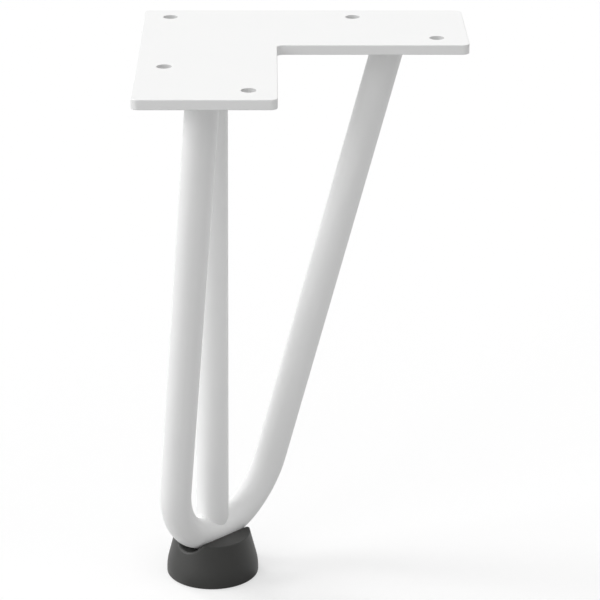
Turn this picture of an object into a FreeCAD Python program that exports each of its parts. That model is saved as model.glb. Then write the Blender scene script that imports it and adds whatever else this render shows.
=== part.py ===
import FreeCAD, Part
import math
import os

# Hairpin table leg: an L-shaped mounting plate, a bent hairpin rod, a third straight rod and a moulded foot.
# Millimetres, +Z up. The origin is on the plate's top face, straight above the middle of the bend.
# The plate's corner is at the back left: one arm runs to the front (-Y), the other to the side (+X).

Vector = FreeCAD.Vector
UP = Vector(0, 0, 1)

# Overall height, from the table's underside to the floor
leg_height = 223.8

# Mounting plate: flat L-shaped sheet with rounded corners and softened rims
arm_length = 120.0
arm_width = 50.0
plate_thickness = 3.7
plate_corner_radius = 2.5
plate_edge_round = 0.3

# Screw holes, as distances of their centres from the edges of the plate
screw_hole_diameter = 5.5
hole_from_long_edge = 10.0
middle_hole_from_end = 41.5
end_hole_from_end = 11.5

# Steel rods, and where each one meets the underside of the plate; the third rod is a little thicker
# and leans back, so that it stands on the far side of the bend
rod_diameter = 12.15
leg_from_outer_edge = 24.0
leg_from_arm_end = 27.6
centre_rod_diameter = 12.9
centre_rod_from_edges = 25.3
centre_rod_end_from_left = 24.35
centre_rod_end_from_back = 23.0

# Bend at the foot of the hairpin: a tight crown, eased into each leg by a wider shoulder
crown_radius = 22.8
shoulder_radius = 37.0
shoulder_turn = 34.0
bend_from_edges = 24.8
bend_above_floor = 11.65

# The third rod's end stops this far above the bend's centre line, where its cope would thin to nothing
cope_trim = 1.2

# Welds: fillets under the plate, and a short bead in each corner between the third rod and the bend,
# which reaches this far to each side of the rod's axis and whose ends sink into the steel by the fade
plate_weld_size = 3.0
bend_weld_radius = 1.2
bend_weld_reach = 2.4
bend_weld_fade = 0.8

# Moulded foot: a short upright band, then a cone up to the rim of a slightly domed top
foot_from_edges = 24.35
foot_radius = 18.2
foot_band_height = 4.5
foot_top_radius = 15.0
foot_rim_height = 17.0
foot_dome_rise = 0.45
foot_base_round = 0.8
foot_knee_round = 20.0
foot_rim_round = 0.2

# Saddle in the foot's top, which the bend lies in: softened along its sides and more at its two ends
saddle_clearance = 0.3
saddle_length_radius = 60.0
saddle_side_round = 0.3
saddle_end_round = 1.0
bond_line = 0.1

# Places that follow from the sizes above
rod_radius = rod_diameter / 2
centre_rod_radius = centre_rod_diameter / 2
back_edge = bend_from_edges
left_edge = -bend_from_edges
side_end = left_edge + arm_length
front_end = back_edge - arm_length
underside = -plate_thickness
floor = -leg_height
crown_bottom = Vector(0, 0, floor + bend_above_floor + rod_radius)
foot_centre = Vector(left_edge + foot_from_edges, back_edge - foot_from_edges, floor)
foot_rim = floor + foot_rim_height
groove_radius = rod_radius + saddle_clearance
front_leg_top = Vector(left_edge + leg_from_outer_edge, front_end + leg_from_arm_end, underside)
side_leg_top = Vector(side_end - leg_from_arm_end, back_edge - leg_from_outer_edge, underside)
centre_rod_top = Vector(left_edge + centre_rod_from_edges, back_edge - centre_rod_from_edges, underside)
centre_rod_end = Vector(left_edge + centre_rod_end_from_left, back_edge - centre_rod_end_from_back, 0)
centre_rod_end.z = crown_bottom.z
centre_rod_direction = (centre_rod_top - centre_rod_end).normalize()

# Cutting shapes run this far past what they cut
spare = 2 * rod_diameter


def unit(vector):
    """The same direction with a length of one."""
    return Vector(vector).normalize()


def same(one, other, tolerance=0.01):
    """True for two lengths that differ by less than the tolerance."""
    return abs(one - other) < tolerance


def root_between(function, low, high, halvings=60):
    """The value between low and high where the function passes through zero."""
    low_sign = function(low) > 0
    for _ in range(halvings):
        middle = (low + high) / 2
        if (function(middle) > 0) == low_sign:
            low = middle
        else:
            high = middle
    return (low + high) / 2


# The hairpin lies in one plane, which leans from the foot towards the middle of the plate
across = unit(side_leg_top - front_leg_top)
rise = (side_leg_top + front_leg_top) / 2 - crown_bottom
upward = unit(rise)
plane_normal = across.cross(upward)
half_spread = (side_leg_top - front_leg_top).Length / 2


def in_plane(sideways, above):
    """A point in the hairpin's plane, from the lowest point of its centre line."""
    return crown_bottom + across * sideways + upward * above


def outward(turn):
    """Direction away from the bend's inside, as (sideways, above), where the line has turned this far."""
    return math.sin(turn), -math.cos(turn)


def shoulder_centre(turn):
    """Centre of the wider bend, when the straight leg begins after this turn from level."""
    side, above = outward(turn - math.radians(shoulder_turn))
    step = crown_radius - shoulder_radius
    return side * step, crown_radius + above * step


def leg_miss(turn):
    """How far the top of the leg lies outside a leg that begins after this turn from level."""
    side, above = outward(turn)
    centre_side, centre_above = shoulder_centre(turn)
    reach = (half_spread - centre_side) * side + (rise.Length - centre_above) * above
    return reach - shoulder_radius


# How far each half of the bend turns from level before its straight leg, and before its shoulder
leg_turn = root_between(leg_miss, math.radians(shoulder_turn), math.radians(90))
crown_turn = leg_turn - math.radians(shoulder_turn)


def leg_direction(side):
    """Upward direction of a straight leg: side is 1 on the plate's side arm and -1 on its front arm."""
    return across * (side * math.cos(leg_turn)) + upward * math.sin(leg_turn)


def hairpin_line():
    """Centre line of the hairpin: straight leg, shoulder, crown, shoulder, straight leg."""
    centre_side, centre_above = shoulder_centre(leg_turn)

    def shoulder_point(side, turn):
        out, above = outward(turn)
        sideways = centre_side + out * shoulder_radius
        return in_plane(side * sideways, centre_above + above * shoulder_radius)

    def half_line(side):
        beyond_top = in_plane(side * half_spread, rise.Length) + leg_direction(side) * rod_diameter
        turns = (leg_turn, (leg_turn + crown_turn) / 2, crown_turn)
        return [beyond_top] + [shoulder_point(side, turn) for turn in turns]

    front = half_line(-1)
    side = half_line(1)
    return Part.Wire([
        Part.LineSegment(front[0], front[1]).toShape(),
        Part.Arc(front[1], front[2], front[3]).toShape(),
        Part.Arc(front[3], crown_bottom, side[3]).toShape(),
        Part.Arc(side[3], side[2], side[1]).toShape(),
        Part.LineSegment(side[1], side[0]).toShape(),
    ])


def rod_along(line, radius):
    """A round bar whose centre follows a wire or a single edge."""
    first_edge = line.Edges[0]
    start = first_edge.valueAt(first_edge.FirstParameter)
    direction = first_edge.tangentAt(first_edge.FirstParameter)
    ring = Part.Wire([Part.Circle(start, direction, radius).toShape()])
    return Part.Wire(line.Edges).makePipe(Part.Face(ring))


def rod_between(start, end, radius):
    """A straight round bar between two points."""
    return Part.makeCylinder(radius, (end - start).Length, start, end - start)


def above_underside():
    """The space above the plate's underside, which the rods are trimmed to."""
    corner = Vector(left_edge - spare, front_end - spare, underside)
    return Part.makeBox(arm_length + 2 * spare, arm_length + 2 * spare, spare, corner)


def hairpin_rod():
    """The bent rod, cut flush with the underside of the plate."""
    return rod_along(hairpin_line(), rod_radius).cut(above_underside())


def centre_rod_blank():
    """The third rod at full length, from past the plate's underside down to the height of the bend."""
    beyond_top = centre_rod_top + centre_rod_direction * centre_rod_diameter
    return rod_between(centre_rod_end, beyond_top, centre_rod_radius)


def centre_rod(hairpin):
    """The third rod, flush with the plate and coped over the bend, without the thin lips of the cope."""
    corner = crown_bottom - Vector(spare, spare, spare)
    trimmings = Part.makeBox(2 * spare, 2 * spare, spare + cope_trim, corner)
    return centre_rod_blank().cut(above_underside()).cut(hairpin).cut(trimmings)


def screw_hole_centres():
    """Centres of the five screw holes: one in the corner, and two on each arm."""
    corner = Vector(left_edge + hole_from_long_edge, back_edge - hole_from_long_edge, 0)
    side_middle = Vector(side_end - middle_hole_from_end, back_edge - hole_from_long_edge, 0)
    side_outer = Vector(side_end - end_hole_from_end, back_edge - arm_width + hole_from_long_edge, 0)
    front_middle = Vector(left_edge + hole_from_long_edge, front_end + middle_hole_from_end, 0)
    front_outer = Vector(left_edge + arm_width - hole_from_long_edge, front_end + end_hole_from_end, 0)
    return [corner, side_middle, side_outer, front_middle, front_outer]


def mounting_plate():
    """Flat L-shaped plate with rounded corners and five plain screw holes."""
    inner_x = left_edge + arm_width
    inner_y = back_edge - arm_width
    corners = [
        Vector(left_edge, back_edge, underside),
        Vector(side_end, back_edge, underside),
        Vector(side_end, inner_y, underside),
        Vector(inner_x, inner_y, underside),
        Vector(inner_x, front_end, underside),
        Vector(left_edge, front_end, underside),
    ]
    outline = Part.makePolygon(corners + corners[:1])
    plate = Part.Face(outline).extrude(UP * plate_thickness)
    upright = [edge for edge in plate.Edges if same(edge.BoundBox.ZLength, plate_thickness)]
    plate = plate.makeFillet(plate_corner_radius, upright)
    rims = [edge for edge in plate.Edges if same(edge.BoundBox.ZLength, 0)]
    plate = plate.makeFillet(plate_edge_round, rims)
    for centre in screw_hole_centres():
        drill_tip = centre + UP * (underside - spare)
        plate = plate.cut(Part.makeCylinder(screw_hole_diameter / 2, plate_thickness + 2 * spare, drill_tip))
    return plate


def is_ring_at(edge, height):
    """True for a closed edge that lies level at this height."""
    box = edge.BoundBox
    return edge.isClosed() and same(box.ZMin, height) and same(box.ZMax, height)


def plate_weld(rod_top, direction, radius):
    """Fillet weld all round a rod where it meets the underside of the plate."""
    rod = rod_between(rod_top - direction * spare, rod_top + direction * spare, radius)
    pad = Part.makeBox(2 * spare, 2 * spare, spare, rod_top - Vector(spare, spare, 0))
    joined = pad.fuse(rod)
    seam = [edge for edge in joined.Edges if is_ring_at(edge, rod_top.z)]
    return joined.makeFillet(plate_weld_size, seam).cut(pad).cut(rod)


def crotch_point(off_axis, side):
    """Where the third rod's side meets the bend, this far in front of the rod's axis."""
    lateral = unit(across.cross(UP))
    along = math.sqrt(centre_rod_radius ** 2 - off_axis ** 2)
    foot = centre_rod_end + across * (side * along) + lateral * off_axis
    crown_centre = crown_bottom + upward * crown_radius

    def gap(height):
        offset = foot + UP * height - crown_centre
        off_plane = offset.dot(plane_normal)
        from_centre = math.hypot(offset.dot(across), offset.dot(upward))
        return math.hypot(from_centre - crown_radius, off_plane) - rod_radius

    return foot + UP * root_between(gap, 0, rod_diameter)


def bead_tip(off_axis, side):
    """An end of a bead on the bend, sunk from the corner towards the middle of the joint."""
    corner = crotch_point(off_axis, side)
    return corner + unit(crown_bottom - corner) * bend_weld_fade


def bend_weld(hairpin):
    """Two short beads in the corners where the third rod stands on the bend, fading out at their ends."""
    beads = []
    for side in (-1, 1):
        start = bead_tip(-bend_weld_reach, side)
        end = bead_tip(bend_weld_reach, side)
        bead = rod_along(Part.Arc(start, crotch_point(0, side), end).toShape(), bend_weld_radius)
        for tip in (start, end):
            bead = bead.fuse(Part.makeSphere(bend_weld_radius, tip))
        beads.append(bead.cut(hairpin).cut(centre_rod_blank()))
    return Part.makeCompound([solid for bead in beads for solid in bead.Solids])


def is_saddle_face(face):
    """True for the face that the saddle leaves in the foot."""
    surface = face.Surface
    ring_radius = saddle_length_radius - groove_radius
    return isinstance(surface, Part.Toroid) and same(surface.MajorRadius, ring_radius)


def saddle():
    """The space that the bend's underside lies in, a little longer in its curve than the bend itself."""
    groove_bottom = floor + bend_above_floor - bond_line
    ring_centre = Vector(0, 0, groove_bottom + saddle_length_radius)
    return Part.makeTorus(saddle_length_radius - groove_radius, groove_radius, ring_centre, across.cross(UP))


def foot_blank():
    """The foot before its saddle is cut, turned about its own upright axis."""
    dome_radius = (foot_top_radius ** 2 + foot_dome_rise ** 2) / (2 * foot_dome_rise)
    half_way = foot_top_radius / 2
    dome_top = foot_rim_height + foot_dome_rise
    half_way_height = dome_top - dome_radius + math.sqrt(dome_radius ** 2 - half_way ** 2)
    points = [
        Vector(0, 0, 0),
        Vector(foot_radius, 0, 0),
        Vector(foot_radius, 0, foot_band_height),
        Vector(foot_top_radius, 0, foot_rim_height),
    ]
    peak = Vector(0, 0, dome_top)
    lines = [Part.LineSegment(start, end).toShape() for start, end in zip(points, points[1:])]
    dome = Part.Arc(points[-1], Vector(half_way, 0, half_way_height), peak).toShape()
    axis = Part.LineSegment(peak, points[0]).toShape()
    blank = Part.Face(Part.Wire(lines + [dome, axis])).revolve(Vector(0, 0, 0), UP, 360)
    blank.translate(foot_centre)
    for height, round_radius in ((floor + foot_band_height, foot_knee_round), (floor, foot_base_round)):
        rings = [edge for edge in blank.Edges if is_ring_at(edge, height)]
        blank = blank.makeFillet(round_radius, rings)
    return blank


def foot_edge_round(edge, saddle_edges):
    """How much an edge of the grooved foot is rounded: its rim, the saddle's sides and the saddle's ends."""
    box = edge.BoundBox
    if same(box.ZMin, foot_rim) and same(box.ZMax, foot_rim):
        return foot_rim_round
    if not any(edge.isSame(other) for other in saddle_edges):
        return 0
    if box.ZMin > foot_rim or same(box.ZMin, foot_rim):
        return saddle_side_round
    return saddle_end_round


def rounded_together(shape, rounds):
    """The shape with each of its edges rounded by its own radius, where this isn't zero, in one step."""
    document = FreeCAD.newDocument("rounding")
    base = document.addObject("Part::Feature", "base")
    base.Shape = shape
    fillet = document.addObject("Part::Fillet", "fillet")
    fillet.Base = base
    fillet.Edges = [(place, size, size) for place, size in enumerate(rounds, start=1) if size > 0]
    document.recompute()
    result = fillet.Shape.copy()
    FreeCAD.closeDocument(document.Name)
    return result


def foot_cap():
    """Moulded foot with its saddle for the bend and its softened edges."""
    grooved = foot_blank().cut(saddle())
    saddle_faces = [face for face in grooved.Faces if is_saddle_face(face)]
    saddle_edges = [edge for face in saddle_faces for edge in face.Edges]
    return rounded_together(grooved, [foot_edge_round(edge, saddle_edges) for edge in grooved.Edges])


def main():
    hairpin = hairpin_rod()
    nodes = {
        "mounting_plate": mounting_plate(),
        "hairpin_rod": hairpin,
        "centre_rod": centre_rod(hairpin),
        "front_leg_weld": plate_weld(front_leg_top, leg_direction(-1), rod_radius),
        "side_leg_weld": plate_weld(side_leg_top, leg_direction(1), rod_radius),
        "centre_rod_weld": plate_weld(centre_rod_top, centre_rod_direction, centre_rod_radius),
        "bend_weld": bend_weld(hairpin),
        "foot_cap": foot_cap(),
    }
    os.makedirs("parts", exist_ok=True)
    for name, shape in nodes.items():
        shape.exportStep(f"parts/{name}.step")
        state = "valid" if shape.isValid() else "not valid"
        print(name, len(shape.Solids), "solid(s)", round(shape.Volume, 1), "mm3", state)


main()
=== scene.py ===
import math

import bmesh
import bpy
from mathutils import Matrix, Vector


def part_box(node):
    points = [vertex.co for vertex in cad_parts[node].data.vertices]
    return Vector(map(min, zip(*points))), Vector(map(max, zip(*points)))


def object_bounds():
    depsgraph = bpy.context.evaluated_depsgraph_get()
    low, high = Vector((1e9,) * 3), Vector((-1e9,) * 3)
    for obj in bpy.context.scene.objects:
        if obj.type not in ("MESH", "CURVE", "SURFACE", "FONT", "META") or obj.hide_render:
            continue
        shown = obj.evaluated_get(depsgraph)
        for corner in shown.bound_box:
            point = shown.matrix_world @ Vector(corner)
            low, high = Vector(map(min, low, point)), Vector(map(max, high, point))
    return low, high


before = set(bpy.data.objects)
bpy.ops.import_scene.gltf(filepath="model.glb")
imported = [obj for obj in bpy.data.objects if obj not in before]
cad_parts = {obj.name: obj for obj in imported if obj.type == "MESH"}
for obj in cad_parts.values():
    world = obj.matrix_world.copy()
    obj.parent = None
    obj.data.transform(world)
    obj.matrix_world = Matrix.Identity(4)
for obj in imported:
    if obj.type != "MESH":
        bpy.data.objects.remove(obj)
cad_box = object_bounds()

# Millimetres and degrees, as the sizes below are given, in Blender's metres and radians
MM = 0.001
DEGREE = math.pi / 180

# The powder coat clouds faintly between two whites. The rods' whites are painted a little brighter than the
# plate's, as painted light, and the plate's upright cut edges are painted greyer and its screw holes darker
# still, as painted shade. Every colour is its red, green, blue and alpha
rod_whites = (0.896, 0.899, 0.897, 1), (0.916, 0.916, 0.911, 1)
plate_whites = (0.865, 0.868, 0.866, 1), (0.885, 0.885, 0.88, 1)
edge_shade_white = (0.822, 0.824, 0.822, 1)
hole_shade_white = (0.68, 0.682, 0.68, 1)

# The coat's clouds, orange peel and fine grain: how wide they are, how high they stand and how much they
# show, and how rough the coat is between them
coat_cloud_size = 30 * MM
coat_peel_size = 1.6 * MM
coat_grain_size = 0.35 * MM
coat_grain_share = 0.25
coat_relief_height = 0.03 * MM
coat_relief_strength = 0.25
coat_roughness = 0.46
coat_roughness_change = 0.1

# How level a face of the plate is, from nought where it is upright to one where it is flat: painted shade
# greys the face fully up to the first and not at all from the second
shade_full_to_level = 0.3
shade_gone_from_level = 0.9

# The plate's screw holes, whose walls carry painted shade: how wide its arms are, how far in from their
# edges and their ends the holes' middles lie, and how far round each middle a face counts as the hole's
arm_width = 50 * MM
hole_from_edge = 10 * MM
end_hole_from_end = 11.5 * MM
middle_hole_from_end = 41.5 * MM
hole_reach = 4.5 * MM

# The moulded foot: the two greys that it clouds between, its clouds and grain, and its gloss
foot_greys = (0.037, 0.037, 0.0355, 1), (0.044, 0.044, 0.042, 1)
foot_cloud_size = 6 * MM
foot_grain_size = 0.5 * MM
foot_relief_height = 0.02 * MM
foot_relief_strength = 0.12
foot_roughness = 0.5
foot_roughness_change = 0.05
foot_gloss = 0.4

# The camera's place and aim, from the plate's corners, holes, rods and foot in the photograph, its lens and
# sensor in millimetres, and how near and how far it sees, in metres
camera_place = Vector((21.948, -976.275, 260.105)) * MM
camera_pitch = 20.6738 * DEGREE
camera_heading = 0.7133 * DEGREE
camera_roll = 0.1898 * DEGREE
camera_lens = 162.41
camera_sensor = 36
nearest_seen = 0.05
furthest_seen = 50

# The floor: how far it runs on each side, in metres, how far below the sole it lies so that the two don't
# share a plane, the pale paint on it, and the white that eyes see over the paint
floor_reach = 6
floor_gap = 0.02 * MM
floor_paint = (0.47, 0.47, 0.47, 1)
floor_glow = 0.515

# The room: a white backdrop, as eyes see it, and an even light on everything. Reflections show the backdrop
# behind and beside the leg, this far round on each side of its middle, and the plainer room in front
room_white = (1, 1, 1, 1)
backdrop = 1.0
room_light = 0.47
backdrop_middle = 198 * DEGREE
backdrop_half_width = 118 * DEGREE
backdrop_fade = 8 * DEGREE

# The lamps, which are wide, soft and far away. Each has the way round to it from the front, its height and
# its width, in degrees, and its power
lamps = {
    "front_high": (0, 45, 40, 0.26),
    "right_high": (60, 45, 40, 0.24),
    "back_high": (215, 40, 20, 0.7),
    "left_back_high": (262, 40, 20, 0.9),
    "left": (281, 24, 20, 0.5),
    "front_left_low": (300, 10, 50, 0.27),
    "front_left": (320, 26, 24, 0.3),
}


class Value:
    """A number that changes over a surface: a shader socket that can be added, multiplied and so on."""

    def __init__(self, shader, socket):
        self.shader = shader
        self.socket = socket

    def __add__(self, other):
        return self.shader.maths("ADD", self, other)

    def __radd__(self, other):
        return self.shader.maths("ADD", other, self)

    def __sub__(self, other):
        return self.shader.maths("SUBTRACT", self, other)

    def __rsub__(self, other):
        return self.shader.maths("SUBTRACT", other, self)

    def __mul__(self, other):
        return self.shader.maths("MULTIPLY", self, other)

    def __rmul__(self, other):
        return self.shader.maths("MULTIPLY", other, self)


class Shader:
    """The nodes of one material, or of the room around the leg."""

    def __init__(self, owner):
        owner.use_nodes = True
        self.owner = owner
        self.tree = owner.node_tree
        self.tree.nodes.clear()
        self.place = self.add("ShaderNodeTexCoord", {}, {}, "Object")

    def new(self, kind, settings, inputs):
        """A node of this kind, with its settings made first and then its sockets filled or joined."""
        node = self.tree.nodes.new(kind)
        for name, setting in settings.items():
            setattr(node, name, setting)
        for name, value in inputs.items():
            if isinstance(value, Value):
                self.tree.links.new(value.socket, node.inputs[name])
            else:
                node.inputs[name].default_value = value
        return node

    def add(self, kind, settings, inputs, output=0):
        """One output of a new node, as a value."""
        return Value(self, self.new(kind, settings, inputs).outputs[output])

    def maths(self, operation, *numbers):
        return self.add("ShaderNodeMath", {"operation": operation}, dict(enumerate(numbers)))

    def vector(self, operation, *vectors, output="Vector"):
        return self.add("ShaderNodeVectorMath", {"operation": operation}, dict(enumerate(vectors)), output)

    def mix(self, factor, first, second):
        """A colour between the first, at nought, and the second, at one."""
        inputs = {"Factor": factor, "A": first, "B": second}
        return self.add("ShaderNodeMix", {"data_type": "RGBA"}, inputs, "Result")

    def rise(self, value, least, most):
        """Nought up to the least of the value, one from the most, and soft between them."""
        limits = {"Value": value, "From Min": least, "From Max": most}
        return self.add("ShaderNodeMapRange", {"interpolation_type": "SMOOTHSTEP"}, limits)

    def noise(self, size, detail=2.0):
        """Soft random spots of about this size in metres, centred on zero."""
        inputs = {"Vector": self.place, "Scale": 1 / size, "Detail": detail}
        return self.add("ShaderNodeTexNoise", {"noise_dimensions": "3D"}, inputs) - 0.5

    def bump(self, relief, strength, height):
        return self.add("ShaderNodeBump", {}, {"Height": relief, "Strength": strength, "Distance": height})

    def finish(self, surface, output="ShaderNodeOutputMaterial"):
        self.new(output, {}, {"Surface": surface})
        return self.owner


def seen_by_eye(shader, way):
    """One where the eye sees a place straight or in a clear surface, or in a glossy one on the back's side.

    The way is the direction from the leg to the place, of length one.
    """
    rays = ("Is Camera Ray", "Is Glossy Ray", "Is Transmission Ray")
    straight, in_gloss, in_clear = (shader.add("ShaderNodeLightPath", {}, {}, ray) for ray in rays)
    middle = (math.sin(backdrop_middle), -math.cos(backdrop_middle), 0)
    outer_edge = math.cos(backdrop_half_width + backdrop_fade)
    inner_edge = math.cos(backdrop_half_width - backdrop_fade)
    behind = shader.rise(shader.vector("DOT_PRODUCT", way, middle, output="Value"), outer_edge, inner_edge)
    return straight + in_gloss * behind + in_clear


def upright_face_shade(shader):
    """One on the plate's upright faces, which carry painted shade, and nought on its top and underside."""
    facing = shader.add("ShaderNodeNewGeometry", {}, {}, "Normal")
    upwards = shader.vector("DOT_PRODUCT", facing, (0, 0, 1), output="Value")
    return 1 - shader.rise(shader.maths("ABSOLUTE", upwards), shade_full_to_level, shade_gone_from_level)


def screw_holes():
    """The middles of the plate's screw holes: at its corner, along each arm and near each arm's end."""
    low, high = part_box("mounting_plate")
    outer_x, inner_x = low.x + hole_from_edge, low.x + arm_width - hole_from_edge
    outer_y, inner_y = high.y - hole_from_edge, high.y - arm_width + hole_from_edge
    places = [
        (outer_x, outer_y),
        (high.x - middle_hole_from_end, outer_y),
        (high.x - end_hole_from_end, inner_y),
        (outer_x, low.y + middle_hole_from_end),
        (inner_x, low.y + end_hole_from_end),
    ]
    return [Vector((x, y, (low.z + high.z) / 2)) for x, y in places]


def in_holes(shader):
    """One in and close round the plate's screw holes, and nought elsewhere."""
    distances = [shader.vector("DISTANCE", shader.place, hole, output="Value") for hole in screw_holes()]
    return sum(shader.maths("LESS_THAN", distance, hole_reach) for distance in distances)


def powder_coat(name, whites, painted_shade=False):
    """White powder coat: satin, with a faint orange peel, a very fine grain and faint clouds in its white.

    With painted shade, it is painted a little greyer on the plate's upright cut edges, as shade, and darker
    still in the holes, as shade in their recesses.
    """
    shader = Shader(bpy.data.materials.new(name))
    peel = shader.noise(coat_peel_size, detail=1.0)
    grain = shader.noise(coat_grain_size, detail=1.0)
    tint = shader.mix(0.5 + shader.noise(coat_cloud_size), *whites)
    if painted_shade:
        # Painted shade: the plate's upright faces are painted greyer, and darker still within the screw
        # holes.
        upright_shade = upright_face_shade(shader)
        tint = shader.mix(upright_shade, tint, edge_shade_white)
        # Painted shade in the screw holes' recesses.
        tint = shader.mix(upright_shade * in_holes(shader), tint, hole_shade_white)
    look = {
        "Base Color": tint,
        "Roughness": coat_roughness + peel * coat_roughness_change,
        "Normal": shader.bump(peel + grain * coat_grain_share, coat_relief_strength, coat_relief_height),
    }
    return shader.finish(shader.add("ShaderNodeBsdfPrincipled", {}, look))


def foot_moulding():
    """Dark grey moulded foot: satin, with its mould's fine grain and faint clouds in its grey and gloss."""
    shader = Shader(bpy.data.materials.new("dark_moulded_foot"))
    cloud = shader.noise(foot_cloud_size)
    look = {
        "Base Color": shader.mix(0.5 + cloud, *foot_greys),
        "Roughness": foot_roughness + cloud * foot_roughness_change,
        "Specular IOR Level": foot_gloss,
        "Normal": shader.bump(shader.noise(foot_grain_size), foot_relief_strength, foot_relief_height),
    }
    return shader.finish(shader.add("ShaderNodeBsdfPrincipled", {}, look))


def pale_floor():
    """Pale floor paint, with enough of its own white for the eye that only the leg's shadow shows on it."""
    shader = Shader(bpy.data.materials.new("pale_floor"))
    foot_low, foot_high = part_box("foot_cap")
    from_foot = shader.vector("SUBTRACT", shader.place, (foot_low + foot_high) / 2)
    seen = seen_by_eye(shader, shader.vector("NORMALIZE", from_foot))
    paint = shader.add("ShaderNodeBsdfDiffuse", {}, {"Color": floor_paint})
    glow = shader.add("ShaderNodeEmission", {}, {"Strength": seen * floor_glow})
    return shader.finish(shader.add("ShaderNodeAddShader", {}, {0: paint, 1: glow}))


def dress():
    """Give each piece of the leg its finish: its own where it has one, and the rods' coat otherwise."""
    # The rods' white is painted a little lighter than the plate's, as painted light.
    rods = powder_coat("white_powder_coat", rod_whites)
    # The plate's coat carries painted shade on its upright edges and in its screw holes.
    plate = powder_coat("white_powder_coat_plate", plate_whites, painted_shade=True)
    own = {"foot_cap": foot_moulding(), "mounting_plate": plate}
    for name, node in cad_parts.items():
        node.data.materials.clear()
        node.data.materials.append(own.get(name, rods))


def make_floor():
    shape = bmesh.new()
    bmesh.ops.create_grid(shape, x_segments=1, y_segments=1, size=floor_reach)
    bmesh.ops.translate(shape, verts=shape.verts, vec=(0, 0, cad_box[0].z - floor_gap))
    mesh = bpy.data.meshes.new("floor")
    shape.to_mesh(mesh)
    shape.free()
    mesh.materials.append(pale_floor())
    floor = bpy.data.objects.new("floor", mesh)
    bpy.context.scene.collection.objects.link(floor)


def make_camera():
    camera = bpy.data.objects.new("camera", bpy.data.cameras.new("camera"))
    camera.data.lens = camera_lens
    camera.data.sensor_width = camera_sensor
    camera.data.clip_start = nearest_seen
    camera.data.clip_end = furthest_seen
    aim = Matrix.Rotation(-camera_heading, 4, "Z") @ Matrix.Rotation(math.pi / 2 - camera_pitch, 4, "X")
    camera.matrix_world = Matrix.Translation(camera_place) @ aim @ Matrix.Rotation(camera_roll, 4, "Z")
    bpy.context.scene.collection.objects.link(camera)
    bpy.context.scene.camera = camera


def make_room():
    """White all round for the eye, plainer in front for reflections, and an even light on everything."""
    shader = Shader(bpy.data.worlds.new("room"))
    way = shader.add("ShaderNodeTexCoord", {}, {}, "Generated")
    strength = room_light + seen_by_eye(shader, way) * (backdrop - room_light)
    surface = shader.add("ShaderNodeBackground", {}, {"Color": room_white, "Strength": strength})
    bpy.context.scene.world = shader.finish(surface, output="ShaderNodeOutputWorld")


def make_lamps():
    for name, (heading, height, width, power) in lamps.items():
        lamp = bpy.data.lights.new(name, "SUN")
        lamp.energy = power
        lamp.angle = width * DEGREE
        around, up = heading * DEGREE, height * DEGREE
        towards = Vector((math.sin(around) * math.cos(up), -math.cos(around) * math.cos(up), math.sin(up)))
        sun = bpy.data.objects.new(name, lamp)
        sun.rotation_euler = towards.to_track_quat("Z", "Y").to_euler()
        bpy.context.scene.collection.objects.link(sun)


dress()
make_floor()
make_camera()
make_room()
make_lamps()
bpy.context.scene.view_settings.view_transform = "Standard"
